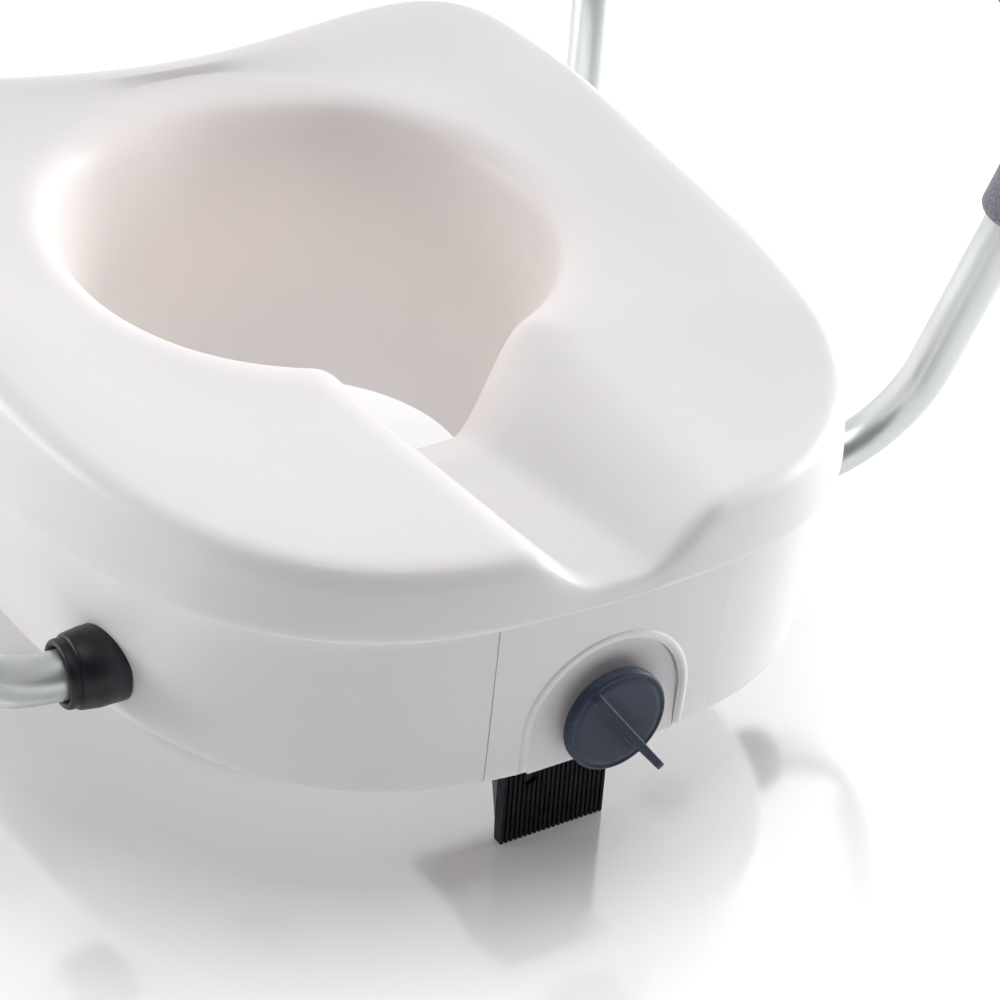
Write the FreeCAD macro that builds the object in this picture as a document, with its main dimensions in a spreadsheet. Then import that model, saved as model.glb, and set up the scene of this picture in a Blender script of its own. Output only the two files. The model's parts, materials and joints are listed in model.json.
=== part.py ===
import FreeCAD, Part

import math
import os
import re

import Sketcher

from FreeCAD import Rotation, Vector

# Raised toilet seat. Millimetres, +Z up, -Y towards the user's knees (the knob side).
# The origin is on the symmetry plane at the level the clamp pad and rear hooks reach down to.

doc = FreeCAD.newDocument("raised_toilet_seat")
sheet = doc.addObject("Spreadsheet::Sheet", "sizes")

SIZES = {
    # moulded seat: heights
    "rim_level": 63.0,
    "seam_level": 144.5,
    "front_crest": 176.0,
    "rear_rise": 40.0,
    "rear_curl": 6.0,
    "funnel_foot": 58.0,
    "wall_thick": 4.0,
    # bowl opening, an ellipse that narrows downwards
    "bowl_centre": 62.0,
    "bowl_half_width": 116.0,
    "bowl_half_length": 125.0,
    "foot_half_width": 83.0,
    "foot_half_length": 88.0,
    # front channel
    "channel_floor_front": 154.0,
    "channel_floor_bowl": 142.0,
    # front panel and its arched lock plate
    "panel_half_width": 57.0,
    "panel_depth": 199.0,
    "arch_half_width": 37.0,
    "arch_border": 6.0,
    "lock_front": 209.0,
    "lock_thick": 6.5,
    "flange_thick": 3.0,
    "small_gap": 0.4,
    # arms
    "tube_radius": 11.1,
    "tube_wall": 1.5,
    "arm_level": 88.5,
    "front_leg": -89.0,
    "rear_leg": 199.0,
    "tube_tip": 124.0,
    "arm_knee": 247.5,
    "arm_top": 335.0,
    "lean_out": 6.0,
    "front_lean": 17.0,
    "rear_lean": 8.0,
    "bend_radius": 58.0,
    "grip_radius": 16.0,
    "grip_start": 228.0,
    "plug_depth": 14.0,
    "plug_cap": 2.5,
    "sleeve_radius": 15.0,
    "sleeve_inner_end": 112.0,
    "sleeve_outer_end": 170.0,
    "collar_radius": 18.0,
    "collar_lip": 15.5,
    "collar_tip": 196.0,
    # knob and screw
    "knob_level": 85.0,
    "knob_radius": 24.5,
    "knob_back": 214.0,
    "knob_face": 220.0,
    "fin_half_thick": 2.0,
    "screw_radius": 4.0,
    "screw_end": 104.0,
    "running_gap": 0.05,
    "clip_place": 196.8,
    "clip_thick": 1.2,
    "clip_groove": 0.8,
    "hex_radius": 7.5,
    # clamp
    "pad_face": 179.0,
    "pad_half_width": 27.25,
    "pad_top": 61.0,
    "rib_depth": 1.2,
    "leg_front": 173.0,
    "block_half": 24.0,
    "block_deep": 26.0,
    "block_top": 101.0,
    "clamp_forward": 8.0,
    "clamp_back": 42.0,
    "rivet_reach": 14.0,
    "rivet_level": 32.0,
    "rail_top": 90.0,
    "rail_outer": 40.0,
    "tongue_low": 77.0,
    "tongue_high": 81.0,
    # rear hooks and feet
    "hook_radius": 142.0,
    "hook_centre": 26.0,
    "hook_half_width": 62.0,
    "hook_thick": 8.0,
    "hook_pad_place": 44.0,
    "hook_pad_half": 17.0,
    "foot_height": 3.0,
}
for row, (name, value) in enumerate(SIZES.items(), start=1):
    sheet.set("A%d" % row, name)
    sheet.set("B%d" % row, str(value))
    sheet.setAlias("B%d" % row, name)
doc.recompute()


def dim(name):
    return float(sheet.get(name))


# Plan outlines. Each is a superellipse, wider towards the rear, with a hollowed rear edge:
# half width at y = 0, widening per mm of y, front, rear reach, rear hollow, corner exponents.
LID = dict(half=202.0, widen=0.071, front=-217.0, rear=280.4, hollow=55.0, nose=3.0, tail=3.7)
SKIRT_TOP = dict(half=192.0, widen=0.067, front=-214.5, rear=262.0, hollow=42.0, nose=2.95, tail=4.3)
SKIRT_FOOT = dict(half=186.0, widen=0.064, front=-210.5, rear=246.0, hollow=30.0, nose=2.9, tail=5.0)

STATIONS = 144
CROWD = 0.62
STEP_LIP = 3.0


def outline_point(shape, turn):
    """Point of a plan outline; turn runs from -90 (front) to 90 (rear) degrees on the +X side."""
    middle = (shape["front"] + shape["rear"]) / 2
    reach = (shape["rear"] - shape["front"]) / 2
    up = math.sin(turn)
    across = max(math.cos(turn), 0.0)
    power = 2 / (shape["nose"] if up < 0 else shape["tail"])
    y = middle + reach * math.copysign(abs(up) ** power, up)
    x_share = across ** power
    x = (shape["half"] + shape["widen"] * y) * x_share
    if up > 0:
        y -= shape["hollow"] * (1 - x_share ** 2) * up ** 2
    return x, y


def on_outline(shape, heading):
    """Point of the outline seen from the bowl centre at a heading from the front, 0 to 360 deg."""
    folded = heading if heading <= math.pi else 2 * math.pi - heading
    low, high = -math.pi / 2, math.pi / 2
    for _ in range(40):
        turn = (low + high) / 2
        x, y = outline_point(shape, turn)
        if math.atan2(x, bowl_centre - y) < folded:
            low = turn
        else:
            high = turn
    return (x if heading <= math.pi else -x), y


def on_ellipse(half_width, half_length, heading):
    """Point of an ellipse about the bowl centre at a heading from the front."""
    ux, uy = math.sin(heading), -math.cos(heading)
    reach = 1 / math.hypot(ux / half_width, uy / half_length)
    return ux * reach, bowl_centre + uy * reach


def between(a, b, share):
    return tuple(p + (q - p) * share for p, q in zip(a, b))


def towards(a, b, distance):
    """Point at a distance from a on the way to b."""
    return between(a, b, distance / math.dist(a, b))


def blend(low, high, share):
    return {key: low[key] + (high[key] - low[key]) * share for key in low}


def smooth(value):
    value = min(max(value, 0.0), 1.0)
    return value * value * (3 - 2 * value)


def ring_skin(rows, degree):
    """Closed band: every row is a loop of poles, the band runs smoothly from row to row."""
    spans = len(rows) - degree
    surface = Part.BSplineSurface()
    surface.buildFromPolesMultsKnots(
        [[Vector(*row[i]) for row in rows] for i in range(STATIONS)],
        [1] * (STATIONS + 1),
        [degree + 1] + [1] * (spans - 1) + [degree + 1],
        [float(i) for i in range(STATIONS + 1)],
        [float(i) for i in range(spans + 1)],
        True,
        False,
        3,
        degree,
    )
    return surface.toShape()


def ring_solid(outer_rows, inner_rows):
    """Solid between two skins whose end loops are joined by narrow bands."""
    skins = [
        ring_skin(outer_rows, 3),
        ring_skin([outer_rows[-1], inner_rows[-1]], 1),
        ring_skin(inner_rows, 3),
        ring_skin([inner_rows[0], outer_rows[0]], 1),
    ]
    shell = Part.makeShell(skins)
    shell.sewShape()
    solid = Part.Solid(shell if shell.ShapeType == "Shell" else shell.Shells[0])
    if solid.Volume < 0:
        solid.reverse()
    return solid


bowl_centre = dim("bowl_centre")
steps = [2 * math.pi * i / STATIONS for i in range(STATIONS)]
HEADINGS = [step - CROWD * math.sin(step) for step in steps]


def crest_height(x, y):
    """Height of the uncut seat surface: it climbs to the rear corners and curls up at the rear edge."""
    along = (y - LID["front"]) / (235.0 - LID["front"])
    curl = dim("rear_curl") * smooth((y - 160.0) / 70.0)
    return dim("front_crest") + dim("rear_rise") * along * (0.93 + 0.07 * (x / 209.0) ** 2) + curl


def seat_height(x, y):
    """Seat surface with the channel that runs from the front edge into the bowl."""
    crest = crest_height(x, y)
    if y > dim("bowl_centre"):
        return crest
    bowl_front = dim("bowl_centre") - dim("bowl_half_length")
    along = (y - LID["front"]) / (bowl_front - LID["front"])
    channel = dim("channel_floor_front") + (dim("channel_floor_bowl") - dim("channel_floor_front")) * along
    flat = 9.0 + 3.0 * along
    edge = 47.0 + 11.0 * along
    return crest - (crest - channel) * (1 - smooth((abs(x) - flat) / (edge - flat)))


def lid_section(heading, skin):
    """Poles of one section of the lid, from the flange under its edge, over the top, down the bowl.

    skin is 0 for the outside and the wall thickness for the inside. The bowl's rim is flatter
    where the channel meets it, and its rear is scooped out more gently than its sides.
    """
    edge = on_outline(LID, heading)
    rim = on_ellipse(dim("bowl_half_width") + skin, dim("bowl_half_length") + skin, heading)
    rim = (rim[0], rim[1] + 11.0 * max(math.cos(heading), 0.0) ** 3)
    foot = on_ellipse(dim("foot_half_width") + skin, dim("foot_half_length") + skin, heading)
    ledge = towards(on_outline(SKIRT_TOP, heading), rim, 7.0)
    seam = dim("seam_level") + (STEP_LIP if skin else 0.0)
    crest = seat_height(*edge) - skin
    wall = crest - seam
    lean = 0.5 + 8.9 * (edge[1] - LID["front"]) / 450.0
    curl = min(13.0 - skin, 0.7 * wall)
    lip = towards(edge, rim, 0.2 + skin)
    top = towards(edge, rim, lean + skin)

    poles = [(*ledge, seam), (*between(ledge, lip, 0.5), seam), (*towards(lip, ledge, 3.0), seam)]
    poles.append((*lip, seam + 0.3))
    poles.append((*towards(edge, rim, skin), seam + 0.2 * wall))
    poles.append((*between(lip, top, 0.5), seam + 0.55 * (wall - curl) + 0.1 * wall))
    poles.append((*top, crest - curl))
    poles.append((*towards(top, rim, 0.04 * curl), crest - 0.42 * curl))
    for inward in (0.42, 1.0):
        place = towards(top, rim, inward * curl)
        poles.append((*place, seat_height(*place) - skin))
    inner_start = towards(top, rim, curl)
    roll = towards(rim, inner_start, 16.0)
    for share in (0.17, 0.33, 0.5, 0.67, 0.83, 1.0):
        place = between(inner_start, roll, share)
        dish = 5.0 * smooth(share)
        poles.append((*place, seat_height(*place) - skin - dish))
    shoulder = poles[-1][2]
    scoop = smooth(-4 * math.cos(heading) - 3)
    for outward, drop, ease in ((9.0, 1.4, 1.0), (3.6, 5.5, 3.0), (0.6, 12.0, 8.0)):
        poles.append((*towards(rim, inner_start, outward - ease * scoop), shoulder - drop))
    for share in (0.12, 0.32, 0.54, 0.77, 1.0):
        height = shoulder - 18.0 + (dim("funnel_foot") - shoulder + 18.0) * share
        poles.append((*between(rim, foot, share ** (0.9 - 0.5 * scoop)), height))
    return poles


def skirt_section(heading, skin):
    """Poles of one section of the skirt, from the hole in its floor, out, up the wall to the ledge."""
    thick = dim("wall_thick")
    hole = on_ellipse(dim("foot_half_width") + 11.5, dim("foot_half_length") + 11.5, heading)
    floor = dim("rim_level") + skin
    seam = dim("seam_level")
    foot = towards(on_outline(SKIRT_FOOT, heading), hole, skin)
    top = towards(on_outline(SKIRT_TOP, heading), hole, skin)
    poles = [(*between(hole, foot, share), floor) for share in (0.0, 0.3, 0.6)]
    poles.append((*towards(foot, hole, 9.0), floor))
    poles.append((*towards(foot, hole, 3.0), floor))
    poles.append((*towards(foot, hole, 0.4), floor + 0.6))
    poles.append((*foot, floor + 5.0))
    if skin:
        for share in (0.3, 0.6, 0.85):
            poles.append((*between(foot, top, share), floor + (seam - floor) * share))
        ledge = towards(on_outline(SKIRT_TOP, heading), hole, 9.0)
        poles.append((*ledge, seam - thick))
        poles.append((*ledge, seam))
    else:
        for share in (0.3, 0.55, 0.8, 0.95, 1.0):
            poles.append((*between(foot, top, share), floor + (seam - floor) * share))
    return poles


def ring_from(section, skin):
    sections = [section(heading, skin) for heading in HEADINGS]
    return [[poles[row] for poles in sections] for row in range(len(sections[0]))]


nodes = []


def finish(part):
    """Register a finished piece; its label names its file."""
    nodes.append(part)
    return part


def bound(text):
    """Expression in which every size's name refers to its cell."""
    def cell(word):
        return "sizes." + word.group() if word.group() in SIZES else word.group()
    return re.sub(r"[a-z_]+", cell, str(text))


def bind(part, **sizes):
    for name, text in sizes.items():
        part.setExpression(name, bound(text))


def put(part, x=0, y=0, z=0, turn=Rotation()):
    """Turn a part, then move its own origin to a place whose coordinates may be expressions."""
    part.Placement = FreeCAD.Placement(Vector(), turn)
    for letter, text in zip("xyz", (x, y, z)):
        part.setExpression("Placement.Base." + letter, bound(text))
    return part


TO_X = Rotation(Vector(0, 1, 0), 90)
TO_Y = Rotation(Vector(1, 0, 0), -90)


def box(name, x, y, z):
    """Box between pairs of expressions along each axis."""
    part = doc.addObject("Part::Box", name)
    spans = ["(%s) - (%s)" % (high, low) for low, high in (x, y, z)]
    bind(part, Length=spans[0], Width=spans[1], Height=spans[2])
    return put(part, x[0], y[0], z[0])


def rod(name, radius, length, x=0, y=0, z=0, turn=Rotation()):
    part = doc.addObject("Part::Cylinder", name)
    bind(part, Radius=radius, Height=length)
    return put(part, x, y, z, turn)


def fuse(name, *parts):
    part = doc.addObject("Part::MultiFuse", name)
    part.Shapes = list(parts)
    part.Refine = True
    return part


def cut(name, base, *tools):
    part = doc.addObject("Part::Cut", name)
    part.Base = base
    part.Tool = tools[0] if len(tools) == 1 else fuse(name + "_tools", *tools)
    return part


def common(name, *parts):
    part = doc.addObject("Part::MultiCommon", name)
    part.Shapes = list(parts)
    return part


def tube(name, outer, inner, length, **place):
    """Round tube, open at both ends."""
    outside = rod(name + "_outside", outer, length, **place)
    return cut(name, outside, rod(name + "_bore", inner, length, **place))


def profile(body, plane, corners):
    """Closed sketch on an origin plane; each corner is held by two bound distances."""
    sketch = body.newObject("Sketcher::SketchObject", body.Name + "_profile")
    origin_plane = next(f for f in body.Origin.OriginFeatures if f.Role == plane)
    sketch.AttachmentSupport = (origin_plane, "")
    sketch.MapMode = "FlatFace"
    start = [Vector(doc_value(u), doc_value(v), 0) for u, v in corners]
    count = len(corners)
    for index, point in enumerate(start):
        sketch.addGeometry(Part.LineSegment(point, start[(index + 1) % count]), False)
    for index in range(count):
        sketch.addConstraint(Sketcher.Constraint("Coincident", index, 2, (index + 1) % count, 1))
    for index, pair in enumerate(corners):
        for kind, text, value in zip(("DistanceX", "DistanceY"), pair, start[index]):
            number = sketch.addConstraint(Sketcher.Constraint(kind, -1, 1, index, 1, value))
            sketch.setExpression("Constraints[%d]" % number, bound(text))
    return sketch


def doc_value(text):
    """Value of an expression of sheet names."""
    return float(sheet.evalExpression(bound(text)))


def prism(name, plane, corners, length):
    """Pad of a polygon drawn on one of the body's own planes."""
    body = doc.addObject("PartDesign::Body", name)
    sketch = profile(body, plane, corners)
    pad = body.newObject("PartDesign::Pad", name + "_pad")
    pad.Profile = sketch
    bind(pad, Length=length)
    return body


def turned(name, corners):
    """Solid turned about the body's X axis; corners are (along, radius)."""
    body = doc.addObject("PartDesign::Body", name)
    sketch = profile(body, "XY_Plane", corners)
    revolution = body.newObject("PartDesign::Revolution", name + "_turn")
    revolution.Profile = sketch
    revolution.ReferenceAxis = (sketch, ["H_Axis"])
    revolution.Angle = 360
    return body


def sculpted(name, shape):
    part = doc.addObject("Part::Feature", name)
    part.Shape = shape
    part.Placement = FreeCAD.Placement()
    return part


SIDES = {"left": -1, "right": 1}
LEGS = ("front", "rear")
AXIS_TO_Y = Rotation(Vector(0, 0, 1), 90)
thick = dim("wall_thick")

# --- moulded seat -----------------------------------------------------------------------------
finish(sculpted("seat_top", ring_solid(ring_from(lid_section, 0.0), ring_from(lid_section, thick))))

tray = sculpted("tray", ring_solid(ring_from(skirt_section, 0.0), ring_from(skirt_section, thick)))
front = ("-260", "-panel_depth")
height = ("0", "seam_level + 20")
panel_space = box("panel_space", ("-panel_half_width", "panel_half_width"), front, height)
panel_gap = "(panel_half_width + small_gap)"
tight_side = "(panel_half_width + running_gap)"
gap_space = box("panel_gap", ("-" + panel_gap, tight_side), front, height)
clamp_slot = box(
    "clamp_slot",
    ("-pad_half_width - 2", "pad_half_width + 2"),
    ("-pad_face - clamp_forward - 4", "-pad_face + clamp_back + 34"),
    ("rim_level - 5", "rim_level + wall_thick + 5"),
)
saddles = []
sockets = []
for side_name, side in SIDES.items():
    for leg in LEGS:
        tag = "%s_%s" % (leg, side_name)
        saddles.append(box(
            "saddle_" + tag,
            (str(141 * side - 23), str(141 * side + 23)),
            (leg + "_leg - 9", leg + "_leg + 9"),
            ("rim_level + wall_thick - 1", "arm_level"),
        ))
        outward = TO_X if side > 0 else TO_X.inverted()
        place = dict(y=leg + "_leg", z="arm_level", turn=outward)
        sockets.append(rod("socket_" + tag, "sleeve_radius", "sleeve_outer_end", **place))
        mouth_start = "%d * sleeve_outer_end" % side
        mouth_depth = "collar_tip - sleeve_outer_end"
        sockets.append(rod("mouth_" + tag, "collar_radius", mouth_depth, x=mouth_start, **place))
FEET = {
    "front_left": (-112, -118),
    "front_right": (112, -118),
    "rear_left": (-122, 128),
    "rear_right": (122, 128),
}
foot_holes = []
for tag, (x, y) in FEET.items():
    foot_holes.append(rod("foot_hole_" + tag, 3, "wall_thick + 2", x=x, y=y, z="rim_level - 1"))
body_blank = fuse("skirt_blank", cut("skirt_shell", tray, gap_space, clamp_slot), *saddles)
finish(cut("base_skirt", body_blank, *sockets, *foot_holes))


def arch(name, half_width, y, floor):
    """Upright plate with a half-round top centred on the knob axis."""
    width = ("-(%s)" % half_width, half_width)
    disc = rod(name + "_disc", half_width, "(%s) - (%s)" % (y[1], y[0]), y=y[0], z="knob_level", turn=TO_Y)
    slab = box(name + "_slab", width, y, (floor, "knob_level"))
    limits = box(name + "_limits", width, y, (floor, "knob_level + " + half_width))
    return common(name, fuse(name + "_blank", slab, disc), limits)


floor_top = "rim_level + wall_thick"
flange_front = "-lock_front + lock_thick"
lock_back = flange_front + " + flange_thick"
LOCK_SCREWS = {"low_left": 198.0, "low_right": -18.0, "high_left": 135.0, "high_right": 45.0}
lock_holes = []
for tag, angle in LOCK_SCREWS.items():
    spot = dict(
        x="(arch_half_width + arch_border / 2) * cos(%g deg)" % angle,
        z="knob_level + (arch_half_width + arch_border / 2) * sin(%g deg)" % angle,
        turn=TO_Y,
    )
    lock_holes.append(rod("lock_hole_" + tag, 1.5, 10, y="-lock_front + 4", **spot))
    shank = rod("lock_shank_" + tag, 1.5, "lock_thick + flange_thick - 4", y="-lock_front + 4", **spot)
    cap = rod("lock_cap_" + tag, 2.8, 1.6, y=lock_back, **spot)
    finish(fuse("lock_screw_" + tag, shank, cap))
arch_space = arch("arch_space", "arch_half_width", ("-230", "-190"), "rim_level - 1")
panel_boss = arch("panel_boss", "arch_half_width + arch_border", ("-208.5", flange_front), "rim_level + 1")
panel_blank = fuse("panel_blank", common("panel_wall", tray, panel_space), panel_boss)
seat_reach = "arch_half_width + arch_border + small_gap"
flange_space = arch("flange_space", seat_reach, (flange_front, "-190"), floor_top + " + running_gap")
finish(cut("front_panel", panel_blank, arch_space, flange_space, *lock_holes))

# --- lock plate, bush, knob and screw ---------------------------------------------------------
knob_axis = dict(z="knob_level", turn=TO_Y)
flange_foot = floor_top + " + small_gap"
lock_blank = fuse(
    "lock_blank",
    arch("lock_face", "arch_half_width - small_gap", ("-lock_front", lock_back), "rim_level"),
    arch("lock_flange", "arch_half_width + arch_border", (flange_front, lock_back), flange_foot),
)
bush_hole = rod("bush_hole", "screw_radius + 3", 20, y="-lock_front - 5", **knob_axis)
finish(cut("lock_plate", lock_blank, bush_hole, *lock_holes))

bush_length = "lock_thick + flange_thick + 0.5"
bush_blank = fuse(
    "bush_blank",
    rod("bush_barrel", "screw_radius + 3", bush_length, y="-lock_front - 0.5", **knob_axis),
    rod("bush_flange", "screw_radius + 6", 2.5, y=lock_back, **knob_axis),
)
screw_bore = "screw_radius + running_gap"
bush_bore = rod("bush_bore", screw_bore, 20, y="-lock_front - 5", **knob_axis)
finish(cut("screw_bush", bush_blank, bush_bore))
washer_place = dict(y="-lock_front - 2", **knob_axis)
finish(tube("thrust_washer", "screw_radius + 7", screw_bore, 1.5, **washer_place))

groove_radius = "screw_radius - clip_groove"
clip_back = "-clip_place + clip_thick"
clip_spot = dict(y="-clip_place", **knob_axis)
clip_ring = tube("clip_ring", "2 * screw_radius", groove_radius, "clip_thick", **clip_spot)
clip_mouth = box(
    "clip_mouth",
    ("-screw_radius * 0.6", "screw_radius * 0.6"),
    ("-clip_place - 1", clip_back + " + 1"),
    ("knob_level - 2 * screw_radius - 1", "knob_level"),
)
finish(cut("retaining_clip", clip_ring, clip_mouth))

screw_head_end = "-knob_face + 1.5"
shank = turned("screw_shank", [
    (screw_head_end, 0), (screw_head_end, "screw_radius"), ("-clip_place", "screw_radius"),
    ("-clip_place", groove_radius), (clip_back, groove_radius), (clip_back, "screw_radius"),
    ("-screw_end - 2", "screw_radius"), ("-screw_end", "screw_radius - 2"), ("-screw_end", 0),
])
put(shank, z="knob_level", turn=AXIS_TO_Y)
head = doc.addObject("Part::Prism", "screw_head")
head.Polygon = 6
bind(head, Circumradius="hex_radius", Height=4.5)
put(head, y=screw_head_end, z="knob_level", turn=TO_Y)
finish(fuse("clamp_screw", shank, head))

disc = turned("knob_disc", [
    ("-knob_face - 1.2", 0), ("-knob_face - 0.9", "knob_radius * 0.55"), ("-knob_face", "knob_radius - 3"),
    ("-knob_face + 2.2", "knob_radius"), ("-knob_back", "knob_radius"), ("-knob_back", 12),
    ("-lock_front - 2", 12), ("-lock_front - 2", 0),
])
put(disc, z="knob_level", turn=AXIS_TO_Y)
fin = prism("knob_fin", "XY_Plane", [
    ("-knob_radius + 2.5", "-knob_face + 1"), ("-knob_radius + 3.5", "-knob_face - 2"),
    ("knob_radius - 4", "-knob_face - 15"), ("knob_radius - 1", "-knob_face - 14.5"),
    ("knob_radius", "-knob_face - 12"), ("knob_radius - 1", "-knob_face + 1"),
], "2 * fin_half_thick")
FIN_TURN = Rotation(Vector(0, 1, 0), 53)
aside = FIN_TURN.multVec(Vector(0, 0, -1))
put(fin, "%.6f * fin_half_thick" % aside.x, 0, "knob_level + %.6f * fin_half_thick" % aside.z, FIN_TURN)
shank_hole = rod("shank_hole", "screw_radius", 30, y=screw_head_end, **knob_axis)
head_hole = doc.copyObject(head, False)
head_hole.Label = "head_hole"
finish(cut("knob", fuse("knob_blank", disc, fin), shank_hole, head_hole))

# --- clamp carriage, nut and ribbed pad -------------------------------------------------------
leg_half = "pad_half_width - 0.3"
leg_top = "rim_level + wall_thick - small_gap"
leg = prism("carriage_leg", "YZ_Plane", [
    ("-leg_front", leg_top), ("-leg_front", "foot_height + 5"),
    ("-leg_front + 12", "rim_level - 3"), ("-leg_front + 22", leg_top),
], "2 * (%s)" % leg_half)
put(leg, x="-(%s)" % leg_half)
block = box(
    "carriage_block",
    ("-block_half", "block_half"),
    ("-leg_front", "-leg_front + block_deep"),
    (leg_top, "block_top"),
)
grooves = []
rivet_holes = []
for side_name, side in SIDES.items():
    low, high = ("block_half - 4", "block_half + 1") if side > 0 else ("-block_half - 1", "-block_half + 4")
    grooves.append(box(
        "groove_" + side_name,
        (low, high),
        ("-leg_front - 1", "-leg_front + block_deep + 1"),
        ("tongue_low - 0.2", "tongue_high + 0.2"),
    ))
    rivet_axis = dict(x="%d * rivet_reach" % side, z="rivet_level", turn=TO_Y)
    rivet_holes.append(rod("leg_rivet_hole_" + side_name, 1.6, 4.9, y="-leg_front - 1", **rivet_axis))
nut_start = "-leg_front + block_deep / 2"
screw_way = rod("screw_way", "screw_radius + 1", "block_deep + 2", y="-leg_front - 1", **knob_axis)
nut_pocket = rod("nut_pocket", "screw_radius + 3", "block_deep", y=nut_start, **knob_axis)
carriage_blank = fuse("carriage_blank", block, leg)
finish(cut("clamp_carriage", carriage_blank, screw_way, nut_pocket, *grooves, *rivet_holes))
nut_place = dict(y=nut_start, **knob_axis)
finish(tube("carriage_nut", "screw_radius + 3", screw_bore, "block_deep / 2", **nut_place))

web_front = "-pad_face + rib_depth"
web = prism("pad_web", "YZ_Plane", [
    (web_front, 0), (web_front + " + 4.3", 0), ("-leg_front", "foot_height + 5"),
    ("-leg_front", "pad_top - 3"), (web_front, "pad_top"),
], "2 * pad_half_width")
put(web, x="-pad_half_width")
RIBS = 22
ribs = []
for index in range(RIBS):
    left_edge = "pad_half_width * %.6f" % (2 * index / RIBS - 1)
    ribs.append(box(
        "rib_%d" % index,
        (left_edge, left_edge + " + pad_half_width * %.6f" % (1.2 / RIBS)),
        ("-pad_face", "-pad_face + rib_depth + 0.5"),
        ("0", "pad_top - 0.5"),
    ))
rivet_ways = []
for side_name, side in SIDES.items():
    rivet_axis = dict(x="%d * rivet_reach" % side, z="rivet_level", turn=TO_Y)
    rivet_ways.append(rod("rivet_sink_" + side_name, 3, 5, y="-pad_face - 1", **rivet_axis))
    rivet_ways.append(rod("rivet_way_" + side_name, 1.6, 8, y="-pad_face", **rivet_axis))
    pad_rivet = fuse(
        "pad_rivet_" + side_name,
        rod("rivet_head_" + side_name, 3, 1.6, y="-pad_face + 2.4", **rivet_axis),
        rod("rivet_pin_" + side_name, 1.6, 6.9, y="-pad_face + 3", **rivet_axis),
    )
    finish(pad_rivet)
finish(cut("grip_pad", fuse("pad_blank", web, *ribs), *rivet_ways))

rail_start = "-pad_face - clamp_forward - 6"
rail_end = "-leg_front + block_deep + clamp_back + 4"
rail_foot = floor_top + " + running_gap"
for side_name, side in SIDES.items():
    wall = ("block_half + 0.3", "rail_outer") if side > 0 else ("-rail_outer", "-block_half - 0.3")
    tongue = ("block_half - 3.6", "block_half + 1") if side > 0 else ("-block_half - 1", "-block_half + 3.6")
    rail_blank = fuse(
        "rail_blank_" + side_name,
        box("rail_wall_" + side_name, wall, (rail_start, rail_end), (rail_foot, "rail_top")),
        box("rail_tongue_" + side_name, tongue, (rail_start, rail_end), ("tongue_low", "tongue_high")),
    )
    drills = []
    for end, place in (("front", rail_start + " + 12"), ("back", rail_end + " - 12")):
        tag = "_%s_%s" % (end, side_name)
        spot = dict(x="%d * (rail_outer - 6)" % side, y=place)
        drills.append(rod("rail_hole" + tag, 1.6, 30, z="rim_level", **spot))
        drills.append(rod("rail_sink" + tag, 3.2, 6, z="rail_top - 3", **spot))
        screw_stem = rod("screw_stem" + tag, 1.55, "rail_top - 3 - (%s)" % rail_foot, z=rail_foot, **spot)
        screw_cap = rod("screw_cap" + tag, 3.1, 2.2, z="rail_top - 3", **spot)
        finish(fuse("rail_screw" + tag, screw_stem, screw_cap))
    finish(cut("guide_rail_" + side_name, rail_blank, *drills))

# --- arms -------------------------------------------------------------------------------------
def arm_corners(side):
    """Corner points of the arm's centre line, front socket to rear socket."""
    climb = dim("arm_top") - dim("arm_level")
    knee = side * dim("arm_knee")
    shoulder = knee + side * climb * math.tan(math.radians(dim("lean_out")))
    front_top = dim("front_leg") - climb * math.tan(math.radians(dim("front_lean")))
    rear_top = dim("rear_leg") + climb * math.tan(math.radians(dim("rear_lean")))
    return [
        Vector(side * dim("tube_tip"), dim("front_leg"), dim("arm_level")),
        Vector(knee, dim("front_leg"), dim("arm_level")),
        Vector(shoulder, front_top, dim("arm_top")),
        Vector(shoulder, rear_top, dim("arm_top")),
        Vector(knee, dim("rear_leg"), dim("arm_level")),
        Vector(side * dim("tube_tip"), dim("rear_leg"), dim("arm_level")),
    ]


def rounded_path(corners, radius):
    """Edges of a polyline whose inner corners are rounded by arcs of one radius."""
    edges = []
    start = corners[0]
    for before, corner, after in zip(corners, corners[1:], corners[2:]):
        back = (before - corner).normalize()
        onward = (after - corner).normalize()
        half_angle = back.getAngle(onward) / 2
        entry = corner + back * (radius / math.tan(half_angle))
        leave = corner + onward * (radius / math.tan(half_angle))
        centre = corner + (back + onward).normalize() * (radius / math.sin(half_angle))
        middle = centre + (corner - centre).normalize() * radius
        edges.append(Part.LineSegment(start, entry).toShape())
        edges.append(Part.Arc(entry, middle, leave).toShape())
        start = leave
    edges.append(Part.LineSegment(start, corners[-1]).toShape())
    return edges


def bent_rod(name, path, radius):
    """Round section swept along a path of edges."""
    first = path[0]
    circle = doc.addObject("Part::Circle", name + "_section")
    facing = Rotation(Vector(0, 0, 1), first.tangentAt(first.FirstParameter))
    circle.Placement = FreeCAD.Placement(first.valueAt(first.FirstParameter), facing)
    bind(circle, Radius=radius)
    spine = sculpted(name + "_path", Part.Wire(path))
    sweep = doc.addObject("Part::Sweep", name)
    sweep.Sections = [circle]
    sweep.Spine = (spine, ["Edge%d" % (index + 1) for index in range(len(path))])
    sweep.Solid = True
    sweep.Frenet = False
    return sweep


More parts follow.
